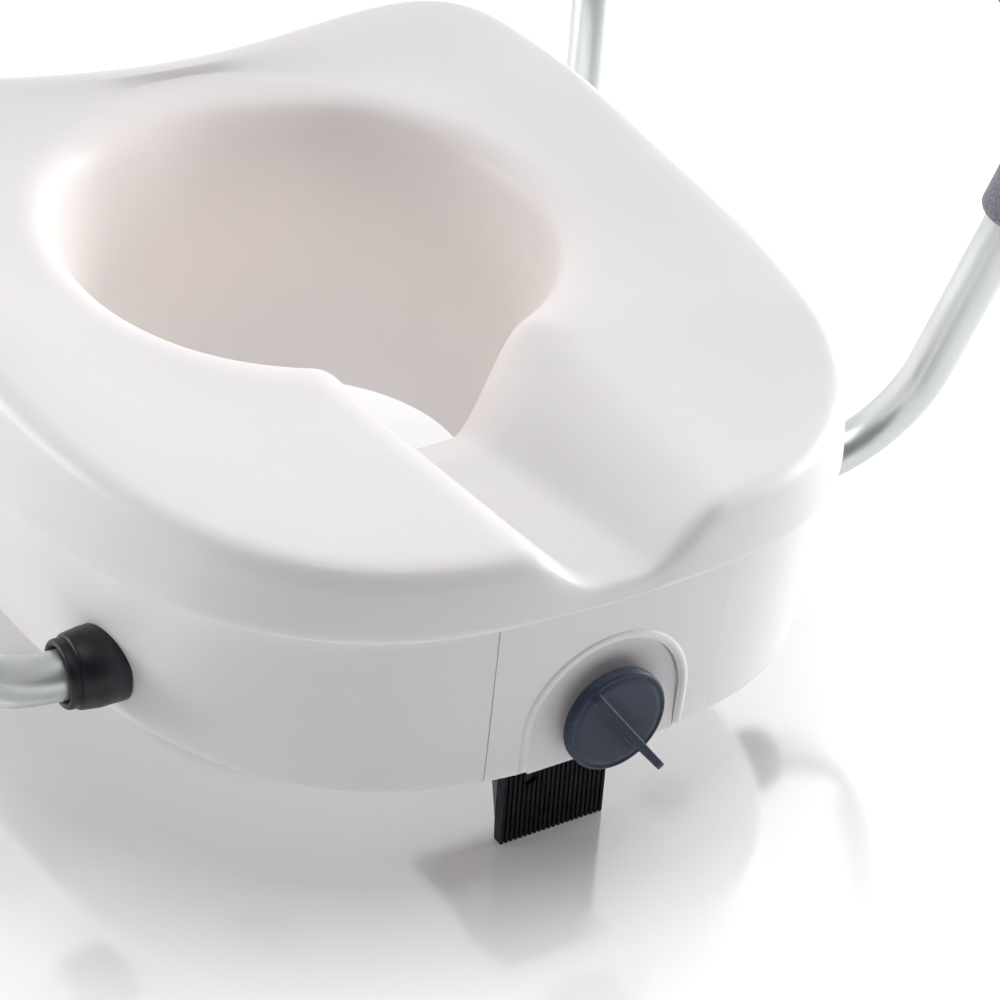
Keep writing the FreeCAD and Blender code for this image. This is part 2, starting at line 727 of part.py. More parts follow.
for side_name, side in SIDES.items():
    corners = arm_corners(side)
    path = rounded_path(corners, dim("bend_radius"))
    arm_outside = bent_rod("arm_outside_" + side_name, path, "tube_radius")
    arm_inside = bent_rod("arm_inside_" + side_name, path, "tube_radius - tube_wall")
    finish(cut("arm_tube_" + side_name, arm_outside, arm_inside))

    share = (dim("grip_start") - dim("arm_level")) / (dim("arm_top") - dim("arm_level"))
    grip_corners = [
        corners[1] + (corners[2] - corners[1]) * share,
        corners[2],
        corners[3],
        corners[4] + (corners[3] - corners[4]) * share,
    ]
    grip_path = rounded_path(grip_corners, dim("bend_radius"))
    grip_outside = bent_rod("grip_outside_" + side_name, grip_path, "grip_radius")
    grip_inside = bent_rod("grip_inside_" + side_name, grip_path, "tube_radius")
    finish(cut("arm_grip_" + side_name, grip_outside, grip_inside))

    outward = TO_X if side > 0 else TO_X.inverted()
    for leg in LEGS:
        tag = "%s_%s" % (leg, side_name)
        place = dict(y=leg + "_leg", z="arm_level", turn=outward)
        tip = "%d * tube_tip" % side
        plug_stem = rod("plug_stem_" + tag, "tube_radius - tube_wall", "plug_depth", x=tip, **place)
        cap_start = "%d * (tube_tip - plug_cap)" % side
        plug_cap = rod("plug_cap_" + tag, "tube_radius - 0.3", "plug_cap", x=cap_start, **place)
        finish(fuse("tube_plug_" + tag, plug_stem, plug_cap))

        sleeve_length = "sleeve_outer_end - sleeve_inner_end"
        sleeve_start = "%d * sleeve_inner_end" % side
        bore = "tube_radius + running_gap"
        finish(tube("socket_sleeve_" + tag, "sleeve_radius", bore, sleeve_length, x=sleeve_start, **place))

        full = "collar_radius - 0.1"
        collar = turned("collar_" + tag, [
            ("sleeve_outer_end", bore), ("sleeve_outer_end", full), ("collar_tip - 14", full),
            ("collar_tip - 5", full + " - 1.2"), ("collar_tip - 4.4", "collar_lip"),
            ("collar_tip - 1", "collar_lip"), ("collar_tip", "collar_lip - 1"),
            ("collar_tip", "collar_lip - 2.4"), ("collar_tip - 5", "collar_lip - 2.8"),
            ("collar_tip - 5", bore),
        ])
        spin = Rotation() if side > 0 else Rotation(Vector(0, 0, 1), 180)
        finish(put(collar, y=leg + "_leg", z="arm_level", turn=spin))

# --- rear hooks and rim feet ------------------------------------------------------------------
def hook_band(name, inner, outer, x, z):
    """Part of an upright ring about the hooks' own centre, behind that centre."""
    place = dict(y="hook_centre", z=z[0])
    ring = tube(name + "_ring", outer, inner, "(%s) - (%s)" % (z[1], z[0]), **place)
    return common(name, ring, box(name + "_limits", x, ("hook_centre", 400), z))


wide = ("-hook_half_width", "hook_half_width")
hook_blank = fuse(
    "hook_blank",
    hook_band("hook_blade", "hook_radius - hook_thick", "hook_radius", wide, ("2", "rim_level")),
    hook_band("hook_shelf", "hook_radius - 2", "hook_radius + 20", wide, ("rim_level - 5", "rim_level")),
)
between_hooks = box(
    "between_hooks",
    ("-hook_pad_place + hook_pad_half + 1", "hook_pad_place - hook_pad_half - 1"),
    ("hook_centre", 400),
    ("-1", "rim_level / 2"),
)
finish(cut("rear_hook", hook_blank, between_hooks))
for side_name, side in SIDES.items():
    middle = "%d * hook_pad_place" % side
    across = (middle + " - hook_pad_half", middle + " + hook_pad_half")
    blade_inside, blade_outside = "hook_radius - hook_thick", "hook_radius"
    pad_outside = "hook_radius + 4"
    pad_height = ("0", "rim_level - 11")
    face = hook_band("hook_pad_face_" + side_name, blade_outside, pad_outside, across, pad_height)
    sole = hook_band("hook_pad_sole_" + side_name, blade_inside, pad_outside, across, ("0", "2"))
    finish(fuse("hook_pad_" + side_name, face, sole))

for tag, (x, y) in FEET.items():
    cone = doc.addObject("Part::Cone", "foot_cone_" + tag)
    bind(cone, Radius1=11, Radius2=13, Height="foot_height")
    put(cone, x, y, "rim_level - foot_height")
    finish(fuse("rim_foot_" + tag, cone, rod("foot_stem_" + tag, 3, "wall_thick", x=x, y=y, z="rim_level")))

doc.recompute()
for part in doc.Objects:
    if "Invalid" in part.State or "Error" in part.State:
        raise RuntimeError("%s did not compute: %s" % (part.Label, part.State))
os.makedirs("parts", exist_ok=True)
for part in nodes:
    shape = part.Shape
    if shape.isNull() or not shape.isValid() or len(shape.Solids) != 1 or shape.Volume <= 0:
        raise RuntimeError("%s is not one valid solid" % part.Label)
for part in nodes:
    part.Shape.exportStep("parts/%s.step" % part.Label)
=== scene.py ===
import json
import math

import bmesh
import bpy
from mathutils import Matrix, Vector


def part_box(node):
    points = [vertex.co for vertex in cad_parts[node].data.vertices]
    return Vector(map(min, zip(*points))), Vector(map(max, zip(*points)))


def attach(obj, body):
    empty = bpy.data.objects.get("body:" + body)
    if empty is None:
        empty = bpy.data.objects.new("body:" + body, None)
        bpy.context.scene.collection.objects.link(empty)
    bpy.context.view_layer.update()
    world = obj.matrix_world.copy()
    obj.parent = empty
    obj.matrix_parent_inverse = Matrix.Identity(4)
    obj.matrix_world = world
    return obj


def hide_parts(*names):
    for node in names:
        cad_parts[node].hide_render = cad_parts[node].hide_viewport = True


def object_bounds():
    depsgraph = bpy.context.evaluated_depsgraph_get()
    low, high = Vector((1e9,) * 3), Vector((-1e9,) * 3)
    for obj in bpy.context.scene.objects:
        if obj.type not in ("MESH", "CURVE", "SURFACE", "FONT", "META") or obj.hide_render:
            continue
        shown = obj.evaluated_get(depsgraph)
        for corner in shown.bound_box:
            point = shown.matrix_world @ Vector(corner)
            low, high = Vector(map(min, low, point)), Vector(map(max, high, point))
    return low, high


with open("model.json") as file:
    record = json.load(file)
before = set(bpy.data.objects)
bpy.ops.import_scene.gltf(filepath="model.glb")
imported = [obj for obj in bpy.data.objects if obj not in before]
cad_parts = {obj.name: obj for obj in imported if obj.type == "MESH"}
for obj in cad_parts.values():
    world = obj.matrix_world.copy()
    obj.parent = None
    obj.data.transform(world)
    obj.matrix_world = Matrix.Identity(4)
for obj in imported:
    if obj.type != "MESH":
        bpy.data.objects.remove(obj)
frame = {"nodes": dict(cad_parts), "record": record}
cad_low, cad_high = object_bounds()
nodes = frame["nodes"]
scene = bpy.context.scene

MM = 0.001
SIDES = {"left": -1, "right": 1}
LEGS = ("front", "rear")


# --- materials --------------------------------------------------------------------------------
# Middle and half sizes of the bowl's hollow, seen as an ellipsoid, in metres.
BOWL_CENTRE = (0, 0.062, 0.16)
BOWL_SIZE = (0.118, 0.126, 0.11)
# Painted light in the bowl: a paler, warmer colour and a faint warm glow, standing in for the light
# that falls there.
BOWL_PAINTED_LIGHT_TINT = (0.91, 0.845, 0.805)
PAINTED_BOWL_GLOW_COLOUR = (1.0, 0.83, 0.75)
PAINTED_BOWL_GLOW_STRENGTH = 0.085

NOISE_ROUGHNESS = 0.55


class Graph:
    """Short way to add nodes to one material."""

    def __init__(self, name):
        self.material = bpy.data.materials.new(name)
        self.material.use_nodes = True
        self.tree = self.material.node_tree
        self.shader = self.tree.nodes["Principled BSDF"]

    def add(self, kind, **settings):
        """A new node of a kind, with some of its properties set."""
        node = self.tree.nodes.new(kind)
        for key, value in settings.items():
            setattr(node, key, value)
        return node

    def feed(self, node, socket, value):
        """Connect an output to a socket, or store a plain value in it."""
        if isinstance(value, bpy.types.NodeSocket):
            self.tree.links.new(value, node.inputs[socket])
        else:
            node.inputs[socket].default_value = value

    def place(self):
        """The object's own coordinates, in metres."""
        return self.add("ShaderNodeTexCoord").outputs["Object"]

    def distance(self, place):
        """How far a place is from the origin of its coordinates."""
        node = self.add("ShaderNodeVectorMath", operation="LENGTH")
        self.feed(node, 0, place)
        return node.outputs["Value"]

    def along_tube(self, stretch):
        """The UV map of a swept tube, in metres along and around it, stretched."""
        source = self.add("ShaderNodeUVMap", uv_map="tube")
        mapping = self.add("ShaderNodeMapping")
        self.feed(mapping, "Vector", source.outputs["UV"])
        mapping.inputs["Scale"].default_value = stretch
        return mapping.outputs["Vector"]

    def noise(self, size, where=None, detail=3.0):
        """Cloudy noise whose features are about size metres across, 0 to 1."""
        node = self.add("ShaderNodeTexNoise")
        self.feed(node, "Vector", where or self.place())
        node.inputs["Scale"].default_value = 1 / size
        node.inputs["Detail"].default_value = detail
        node.inputs["Roughness"].default_value = NOISE_ROUGHNESS
        return node.outputs["Fac"]

    def cells(self, size):
        """Distance from the middle of cells that are about size metres across."""
        node = self.add("ShaderNodeTexVoronoi", feature="F1")
        self.feed(node, "Vector", self.place())
        node.inputs["Scale"].default_value = 1 / size
        return node.outputs["Distance"]

    def fit(self, value, low, high, to_low, to_high):
        """Map a range of one value to another range, clamped."""
        node = self.add("ShaderNodeMapRange")
        self.feed(node, "Value", value)
        for socket, number in zip(("From Min", "From Max", "To Min", "To Max"),
                                  (low, high, to_low, to_high)):
            node.inputs[socket].default_value = number
        return node.outputs["Result"]

    def spread(self, noise, to_low, to_high):
        """Stretch noise, most of which lies between 0.3 and 0.7, over another range."""
        return self.fit(noise, 0.3, 0.7, to_low, to_high)

    def mix(self, share, first, second):
        """Blend two colours; a Mix node's colours go in at 6 and 7 and come out at 2."""
        node = self.add("ShaderNodeMix", data_type="RGBA")
        self.feed(node, "Factor", share)
        self.feed(node, 6, first if isinstance(first, bpy.types.NodeSocket) else (*first, 1))
        self.feed(node, 7, second if isinstance(second, bpy.types.NodeSocket) else (*second, 1))
        return node.outputs[2]

    def sum(self, first, second):
        """Two values added."""
        node = self.add("ShaderNodeMath", operation="ADD")
        self.feed(node, 0, first)
        self.feed(node, 1, second)
        return node.outputs["Value"]

    def edges(self, low, high):
        """1 on sharp outer edges, 0 on flat areas."""
        return self.fit(self.add("ShaderNodeNewGeometry").outputs["Pointiness"], low, high, 0, 1)

    def bump(self, height, distance, strength, onto=None):
        """A normal from heights that rise at most distance metres, on top of another normal."""
        node = self.add("ShaderNodeBump")
        self.feed(node, "Height", height)
        node.inputs["Distance"].default_value = distance
        node.inputs["Strength"].default_value = strength
        if onto is not None:
            self.feed(node, "Normal", onto)
        return node.outputs["Normal"]

    def finish(self, **sockets):
        """Set the shader's sockets, named with underscores for spaces, and give the material."""
        for socket, value in sockets.items():
            name = socket.replace("_", " ")
            if name.endswith("Color") and not isinstance(value, bpy.types.NodeSocket):
                value = (*value, 1)
            self.feed(self.shader, name, value)
        return self.material


def white_shell():
    """Blow-moulded off-white plastic: faint clouds, a fine stipple and a satin sheen.

    Inside the bowl, painted light: the colour turns paler and warmer and the shell glows faintly,
    standing in for the light that falls there.
    """
    g = Graph("white_shell")
    clouds = g.noise(0.09, detail=2)
    tone = g.mix(clouds, (0.765, 0.745, 0.750), (0.790, 0.775, 0.780))
    ellipsoid = g.add("ShaderNodeMapping", vector_type="TEXTURE")
    g.feed(ellipsoid, "Vector", g.place())
    ellipsoid.inputs["Location"].default_value = BOWL_CENTRE
    ellipsoid.inputs["Scale"].default_value = BOWL_SIZE
    # Painted light: inside the bowl's ellipsoid the colour turns paler and warmer and the shell glows
    # faintly.
    inside = g.fit(g.distance(ellipsoid.outputs["Vector"]), 1.2, 0.8, 0, 1)
    tone = g.mix(inside, tone, BOWL_PAINTED_LIGHT_TINT)
    glow = g.fit(inside, 0, 1, 0, PAINTED_BOWL_GLOW_STRENGTH)
    stipple = g.noise(0.0011, detail=2)
    waves = g.noise(0.035, detail=1)
    normal = g.bump(waves, 0.0006, 0.25)
    normal = g.bump(stipple, 0.00006, 0.5, normal)
    rough = g.spread(g.noise(0.012, detail=4), 0.36, 0.46)
    return g.finish(Base_Color=tone, Roughness=rough, Normal=normal, Specular_IOR_Level=0.45,
                    Subsurface_Weight=0.12, Subsurface_Radius=(0.012, 0.008, 0.006),
                    Subsurface_Scale=0.6, Emission_Color=PAINTED_BOWL_GLOW_COLOUR,
                    Emission_Strength=glow)


def white_nylon():
    """Cream bush of the clamp screw, with a faint grain."""
    g = Graph("white_nylon")
    tone = g.mix(g.noise(0.02), (0.62, 0.60, 0.55), (0.70, 0.68, 0.63))
    normal = g.bump(g.noise(0.0008), 0.00005, 0.6)
    rough = g.spread(g.noise(0.006), 0.42, 0.58)
    return g.finish(Base_Color=tone, Roughness=rough, Normal=normal)


def slate_plastic():
    """Dark blue-grey knob and carriage, with a painted highlight: paler on sharp edges."""
    g = Graph("slate_plastic")
    tone = g.mix(g.noise(0.015), (0.020, 0.031, 0.058), (0.027, 0.041, 0.075))
    # Painted highlight: sharp edges are paler.
    tone = g.mix(g.edges(0.53, 0.62), tone, (0.075, 0.095, 0.140))
    normal = g.bump(g.noise(0.0005, detail=2), 0.00004, 0.5)
    rough = g.spread(g.noise(0.004), 0.44, 0.56)
    return g.finish(Base_Color=tone, Roughness=rough, Normal=normal, Specular_IOR_Level=0.35)


def black_plastic():
    """Near-black collars, plugs and rivets, with a painted highlight: paler on sharp edges."""
    g = Graph("black_plastic")
    tone = g.mix(g.noise(0.012), (0.005, 0.006, 0.009), (0.010, 0.012, 0.016))
    # Painted highlight: sharp edges are paler.
    tone = g.mix(g.edges(0.53, 0.60), tone, (0.05, 0.056, 0.064))
    normal = g.bump(g.noise(0.0006, detail=2), 0.00004, 0.6)
    rough = g.spread(g.noise(0.005), 0.36, 0.50)
    return g.finish(Base_Color=tone, Roughness=rough, Normal=normal, Specular_IOR_Level=0.35)


def black_rubber():
    """Clamp and hook pads with a dull grey bloom in patches."""
    g = Graph("black_rubber")
    bloom = g.fit(g.noise(0.008, detail=5), 0.45, 0.75, 0, 1)
    tone = g.mix(bloom, (0.002, 0.003, 0.005), (0.008, 0.009, 0.012))
    normal = g.bump(g.noise(0.0004, detail=2), 0.00004, 0.8)
    rough = g.spread(g.noise(0.006), 0.52, 0.72)
    return g.finish(Base_Color=tone, Roughness=rough, Normal=normal, Specular_IOR_Level=0.2)


def white_rubber():
    """Feet that rest on the bowl rim."""
    g = Graph("white_rubber")
    tone = g.mix(g.noise(0.012), (0.60, 0.59, 0.57), (0.68, 0.67, 0.65))
    normal = g.bump(g.noise(0.0005, detail=2), 0.00004, 0.8)
    rough = g.spread(g.noise(0.006), 0.55, 0.70)
    return g.finish(Base_Color=tone, Roughness=rough, Normal=normal)


def satin_aluminium():
    """Drawn and anodised tube: fine lines along its length, a few fainter smudges."""
    g = Graph("satin_aluminium")
    lines = g.noise(0.0006, g.along_tube((0.02, 1, 1)), detail=4)
    smudges = g.noise(0.03, detail=4)
    tone = g.mix(lines, (0.56, 0.59, 0.59), (0.66, 0.69, 0.69))
    normal = g.bump(lines, 0.00004, 0.35)
    rough = g.sum(g.spread(smudges, 0.0, 0.10), g.spread(lines, 0.26, 0.34))
    return g.finish(Base_Color=tone, Roughness=rough, Normal=normal, Metallic=0.7)


def grey_foam():
    """Closed-cell foam whose pores are darker: painted shade in the pores."""
    g = Graph("grey_foam")
    pores = g.cells(0.0013)
    # Painted shade: the colour darkens towards each cell's middle, where the pores are.
    tone = g.mix(g.fit(pores, 0.1, 0.6, 0, 1), (0.110, 0.118, 0.140), (0.220, 0.232, 0.268))
    normal = g.bump(pores, 0.0004, 0.8)
    return g.finish(Base_Color=tone, Roughness=0.85, Normal=normal, Sheen_Weight=0.25)


def plated(name, dark, light):
    """Metal hardware with turning marks."""
    g = Graph(name)
    grain = g.noise(0.002, detail=4)
    normal = g.bump(grain, 0.00003, 0.4)
    rough = g.spread(grain, 0.22, 0.38)
    return g.finish(Base_Color=g.mix(grain, dark, light), Roughness=rough, Normal=normal, Metallic=1.0)


MATERIALS = {
    "white_shell": white_shell(),
    "white_nylon": white_nylon(),
    "steel": plated("steel", (0.48, 0.48, 0.50), (0.60, 0.60, 0.62)),
    "brass": plated("brass", (0.58, 0.42, 0.18), (0.72, 0.55, 0.26)),
    "slate_plastic": slate_plastic(),
    "black_plastic": black_plastic(),
    "black_rubber": black_rubber(),
    "white_rubber": white_rubber(),
    "satin_aluminium": satin_aluminium(),
    "grey_foam": grey_foam(),
}

for row in frame["record"]["subparts"]:
    mesh = nodes[row["node"]].data
    mesh.materials.clear()
    mesh.materials.append(MATERIALS[row["material_slot"]])

# --- pieces built here ------------------------------------------------------------------------
TURN_STEPS = 96
TUBE_SIDES = 48
PATH_STEP = 4 * MM
CLEARANCE = 0.05 * MM


def new_piece(name, mesh, slot, body, *replaced):
    """Smooth-shaded object that rides on a body and stands for CAD nodes."""
    for face in mesh.polygons:
        face.use_smooth = True
    mesh.materials.append(MATERIALS[slot])
    piece = bpy.data.objects.new(name, mesh)
    scene.collection.objects.link(piece)
    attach(piece, body)
    if replaced:
        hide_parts(*replaced)
    return piece


def arc(centre, radius, start, stop, count):
    """Points of an arc in a plane; angles in degrees."""
    angles = [math.radians(start + (stop - start) * i / (count - 1)) for i in range(count)]
    return [(centre[0] + radius * math.cos(a), centre[1] + radius * math.sin(a)) for a in angles]


def lathe(bm, profile, centre, axis):
    """Turn (along, radius) points about an axis through a centre; the ends may lie on the axis."""
    across = axis.orthogonal().normalized()
    verts = [bm.verts.new(centre + axis * along + across * radius) for along, radius in profile]
    edges = [bm.edges.new(pair) for pair in zip(verts, verts[1:])]
    bmesh.ops.spin(bm, geom=verts + edges, cent=centre, axis=axis, angle=math.tau, steps=TURN_STEPS)
    bmesh.ops.remove_doubles(bm, verts=bm.verts, dist=1e-6)
    bmesh.ops.recalc_face_normals(bm, faces=bm.faces)


def bm_to_mesh(bm, name):
    mesh = bpy.data.meshes.new(name)
    bm.to_mesh(mesh)
    bm.free()
    return mesh


def baked_mesh(thing):
    """A new mesh of an object or curve as its modifiers and bevel leave it."""
    graph = bpy.context.evaluated_depsgraph_get()
    return bpy.data.meshes.new_from_object(thing.evaluated_get(graph))


def middle(node_name):
    """Centre of a CAD node's box."""
    low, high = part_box(node_name)
    return (low + high) / 2


# Arms: a bent tube between its two plugs, with a foam sleeve over the bends and the top.
BEND_RADIUS = 58 * MM
LEAN_OUT = math.radians(6)
FRONT_LEAN = math.radians(17)
REAR_LEAN = math.radians(8)
TUBE_WALL = 1.5 * MM
TUBE_EDGE = 0.4 * MM
GRIP_EDGE = 0.8 * MM
GRIP_ROUND = 0.22


def arm_corners(side_name):
    """Corners of the tube's centre line, and its radius, worked out from the CAD boxes."""
    side = SIDES[side_name]
    tube_low, tube_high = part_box("arm_tube_" + side_name)
    front_plug, rear_plug = [middle("tube_plug_%s_%s" % (leg, side_name)) for leg in LEGS]
    level = front_plug.z
    radius = level - tube_low.z
    tip = tube_high.x if side < 0 else tube_low.x
    top = tube_high.z - radius
    shoulder = tube_low.x + radius if side < 0 else tube_high.x - radius
    climb = top - level
    knee = shoulder - side * climb * math.tan(LEAN_OUT)
    front_top = front_plug.y - climb * math.tan(FRONT_LEAN)
    rear_top = rear_plug.y + climb * math.tan(REAR_LEAN)
    corners = [
        (tip, front_plug.y, level), (knee, front_plug.y, level), (shoulder, front_top, top),
        (shoulder, rear_top, top), (knee, rear_plug.y, level), (tip, rear_plug.y, level),
    ]
    return [Vector(corner) for corner in corners], radius


def bent_path(corners):
    """Evenly spaced points along a line whose inner corners are rounded."""
    points = [corners[0]]
    for before, corner, after in zip(corners, corners[1:], corners[2:]):
        back = (before - corner).normalized()
        onward = (after - corner).normalized()
        half = back.angle(onward) / 2
        centre = corner + (back + onward).normalized() * (BEND_RADIUS / math.sin(half))
        entry = corner + back * (BEND_RADIUS / math.tan(half)) - centre
        leave = corner + onward * (BEND_RADIUS / math.tan(half)) - centre
        count = max(2, round(BEND_RADIUS * (math.pi - 2 * half) / PATH_STEP))
        spokes = [entry.slerp(leave, i / count).normalized() for i in range(count + 1)]
        points += [centre + spoke * BEND_RADIUS for spoke in spokes]
    points.append(corners[-1])
    evened = []
    for start, stop in zip(points, points[1:]):
        count = max(1, round((stop - start).length / PATH_STEP))
        evened += [start.lerp(stop, i / count) for i in range(count)]
    return evened + [points[-1]]


def sweep(name, path, profile):
    """Closed skin about a path; profile is (distance in from the nearer end, radius) at each end.

    The skin starts and ends at the profile's first radius and is closed by an inner wall there.
    """
    lengths = [0.0]
    for start, stop in zip(path, path[1:]):
        lengths.append(lengths[-1] + (stop - start).length)
    total = lengths[-1]

    def point_at(distance):
        index = max(i for i, length in enumerate(lengths[:-1]) if length <= max(distance, 0))
        share = (distance - lengths[index]) / (lengths[index + 1] - lengths[index])
        return path[index].lerp(path[index + 1], share)

    end_depth, full_radius = profile[-1]
    between_ends = [length for length in lengths if end_depth < length < total - end_depth]
    stations = list(profile)
    stations += [(length, full_radius) for length in between_ends]
    stations += [(total - depth, radius) for depth, radius in reversed(profile)]
    stations += [(length, profile[0][1]) for length in reversed(between_ends)]

    bm = bmesh.new()
    uv_layer = bm.loops.layers.uv.new("tube")
    angles = [math.tau * i / TUBE_SIDES for i in range(TUBE_SIDES)]
    rings = []
    across = None
    for distance, radius in stations:
        here = point_at(distance)
        ahead = point_at(min(distance + MM, total))
        behind = point_at(max(distance - MM, 0))
        heading = (ahead - behind).normalized()
        across = heading.orthogonal() if across is None else across
        across = (across - heading * across.dot(heading)).normalized()
        side = heading.cross(across)
        spokes = [across * math.cos(a) + side * math.sin(a) for a in angles]
        ring = [bm.verts.new(here + spoke * radius) for spoke in spokes]
        rings.append((distance, radius, ring))
    for (near, radius, ring), (far, _, following) in zip(rings, rings[1:] + rings[:1]):
        for i in range(TUBE_SIDES):
            j = (i + 1) % TUBE_SIDES
            face = bm.faces.new((ring[i], ring[j], following[j], following[i]))
            turn = math.tau * radius / TUBE_SIDES
            marks = ((near, i * turn), (near, (i + 1) * turn), (far, (i + 1) * turn), (far, i * turn))
            for loop, mark in zip(face.loops, marks):
                loop[uv_layer].uv = mark
    bmesh.ops.recalc_face_normals(bm, faces=bm.faces)
    return bm_to_mesh(bm, name)


def add_tube(side_name, corners, tube_radius):
    """Hollow tube with its outer edges broken at both ends."""
    profile = [(0, tube_radius - TUBE_WALL), (0, tube_radius - TUBE_EDGE), (TUBE_EDGE, tube_radius)]
    mesh = sweep("tube_" + side_name, bent_path(corners), profile)
    arm = side_name + "_arm"
    new_piece("tube_" + side_name, mesh, "satin_aluminium", arm, "arm_tube_" + side_name)


def add_foam(side_name, corners, tube_radius):
    """Sleeve whose two ends start level with each other, at the bottom of its CAD box."""
    low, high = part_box("arm_grip_" + side_name)
    front_foot, front_head, rear_head, rear_foot = corners[1:5]
    radius = high.z - front_head.z
    shares = []
    for foot, head in ((front_foot, front_head), (rear_foot, rear_head)):
        leg = (head - foot).normalized()
        dip = radius * math.hypot(leg.x, leg.y)
        shares.append((low.z + dip - foot.z) / (head.z - foot.z))
    front_end = front_foot.lerp(front_head, max(shares))
    rear_end = rear_foot.lerp(rear_head, max(shares))
    rounding = GRIP_ROUND * radius
    turns = [math.radians(90 * i // 4) for i in (4, 3, 2, 1, 0)]
    profile = [(0, tube_radius + CLEARANCE), (0, tube_radius + GRIP_EDGE)]
    profile += [(rounding * (1 - math.sin(a)), radius - rounding * (1 - math.cos(a))) for a in turns]
    mesh = sweep("foam_" + side_name, bent_path([front_end, front_head, rear_head, rear_end]), profile)
    arm = side_name + "_arm"
    foam = new_piece("foam_" + side_name, mesh, "grey_foam", arm, "arm_grip_" + side_name)


# Collars: a straight body that narrows a little, then a short neck with a rounded lip.
COLLAR_TAPER = 14 * MM
COLLAR_NECK = 5 * MM
COLLAR_STEP = 2.4 * MM
COLLAR_ROUND = 1.6 * MM


def add_collar(leg, side_name, tube_radius):
    """Collar that the tube passes through on its way into the skirt."""
    tag = "%s_%s" % (leg, side_name)
    low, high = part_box("collar_" + tag)
    tip = (high.x - low.x) / 2
    full = (high.z - low.z) / 2
    lip = full - COLLAR_STEP
    bore = tube_radius + CLEARANCE
    neck = tip - COLLAR_NECK
    profile = [(-tip, bore), (-tip, full), (tip - COLLAR_TAPER, full)]
    profile += arc((neck - COLLAR_ROUND, full - 1 * MM - COLLAR_ROUND), COLLAR_ROUND, 80, 0, 5)
    profile += [(neck + 0.4 * MM, lip + 0.1 * MM)]
    profile += arc((tip - COLLAR_ROUND, lip - COLLAR_ROUND), COLLAR_ROUND, 90, -60, 9)
    profile += [(neck + 0.5 * MM, lip - 3 * MM), (neck, bore), (-tip, bore)]
    bm = bmesh.new()
    lathe(bm, profile, middle("collar_" + tag), Vector((SIDES[side_name], 0, 0)))
    mesh = bm_to_mesh(bm, "boot_" + tag)
    new_piece("boot_" + tag, mesh, "black_plastic", "seat", "collar_" + tag)


for side_name in SIDES:
    corners, tube_radius = arm_corners(side_name)
    add_tube(side_name, corners, tube_radius)
    add_foam(side_name, corners, tube_radius)
    for leg in LEGS:
        add_collar(leg, side_name, tube_radius)

# Knob: a domed disc with a finger fin, moulded as one with soft corners.
FIN_HEIGHT = 15 * MM
FIN_TURN = math.radians(53)
FIN_HALF = 1.8 * MM
FIN_ROOT = 2 * MM
BOSS_RADIUS = 12 * MM
BOSS_DEPTH = 3 * MM
BACK_BEVEL = 1 * MM
RIM_ROUND = 2.2 * MM
DOME_RISE = 0.8 * MM
KNOB_VOXEL = 0.35 * MM
KNOB_SOFTENING = 12


def knob_profile(radius, face):
    """(along, radius) points from the middle of the back to the middle of the domed face.

    The rim's arc runs from the face outward, so the remeshed disc gets a faint groove inside its edge.
    """
    points = [(0, 0), (0, BOSS_RADIUS), (BOSS_DEPTH, BOSS_RADIUS)]
    points += [(BOSS_DEPTH, radius - BACK_BEVEL), (BOSS_DEPTH + BACK_BEVEL, radius)]
    points += arc((face - RIM_ROUND, radius - RIM_ROUND), RIM_ROUND, 0, 80, 7)
    dome = (0.8, 0.6, 0.4, 0.2, 0)
    return points + [(face + DOME_RISE * (1 - share ** 2), radius * share) for share in dome]


def add_fin(bm, back, radius, face, reach):
    """Straight fin across the face, standing highest at its lower right end."""
    line = Vector((math.cos(FIN_TURN), 0, -math.sin(FIN_TURN)))
    across = Vector((math.sin(FIN_TURN), 0, math.cos(FIN_TURN)))
    outline = [
        (2.5 * MM - radius, face - FIN_ROOT), (3.5 * MM - radius, face + FIN_ROOT),
        (radius - 4 * MM, reach), (radius - 1 * MM, reach - 0.5 * MM),
        (radius, reach - 3 * MM), (radius - 1.2 * MM, face - FIN_ROOT),
    ]
    flanks = []
    for offset in (-FIN_HALF, FIN_HALF):
        start = back + across * offset
        flank = [start + line * along - Vector((0, height, 0)) for along, height in outline]
        flanks.append([bm.verts.new(place) for place in flank])
    bm.faces.new(flanks[0])
    bm.faces.new(reversed(flanks[1]))
    for i in range(len(outline)):
        j = (i + 1) % len(outline)
        bm.faces.new((flanks[0][j], flanks[0][i], flanks[1][i], flanks[1][j]))


def add_knob():
    """Disc and fin, remeshed as one solid and smoothed."""
    low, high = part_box("knob")
    radius = high.x
    back = Vector((0, high.y, middle("knob").z))
    reach = high.y - low.y
    face = reach - FIN_HEIGHT
    bm = bmesh.new()
    lathe(bm, knob_profile(radius, face), back, Vector((0, -1, 0)))
    add_fin(bm, back, radius, face, reach)
    bmesh.ops.recalc_face_normals(bm, faces=bm.faces)
    knob = new_piece("knob_moulding", bm_to_mesh(bm, "knob_moulding"), "slate_plastic", "knob", "knob")
    remesh = knob.modifiers.new("remesh", "REMESH")
    remesh.mode = "VOXEL"
    remesh.voxel_size = KNOB_VOXEL
    remesh.use_smooth_shade = True
    soften = knob.modifiers.new("soften", "SMOOTH")
    soften.factor = 0.5
    soften.iterations = KNOB_SOFTENING
    moulded = baked_mesh(knob)
    knob.modifiers.clear()
    knob.data = moulded


add_knob()

# Bead: a soft raised line round the arched lock plate, lying on the front panel.
BEAD_RADIUS = 2.6 * MM
BEAD_SUNK = 1.6 * MM
BEAD_INSET = 3.5 * MM


def bead_outline():
    """(x, z) points up one side of the arch, over it and down the other side."""
    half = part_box("lock_plate")[1].x - BEAD_INSET
    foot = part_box("front_panel")[0].z + BEAD_RADIUS
    spring = middle("knob").z
    upright = [(-half, foot + (spring - foot) * share) for share in (0, 0.33, 0.66)]
    return upright + arc((0, spring), half, 180, 0, 25) + [(-x, z) for x, z in reversed(upright)]


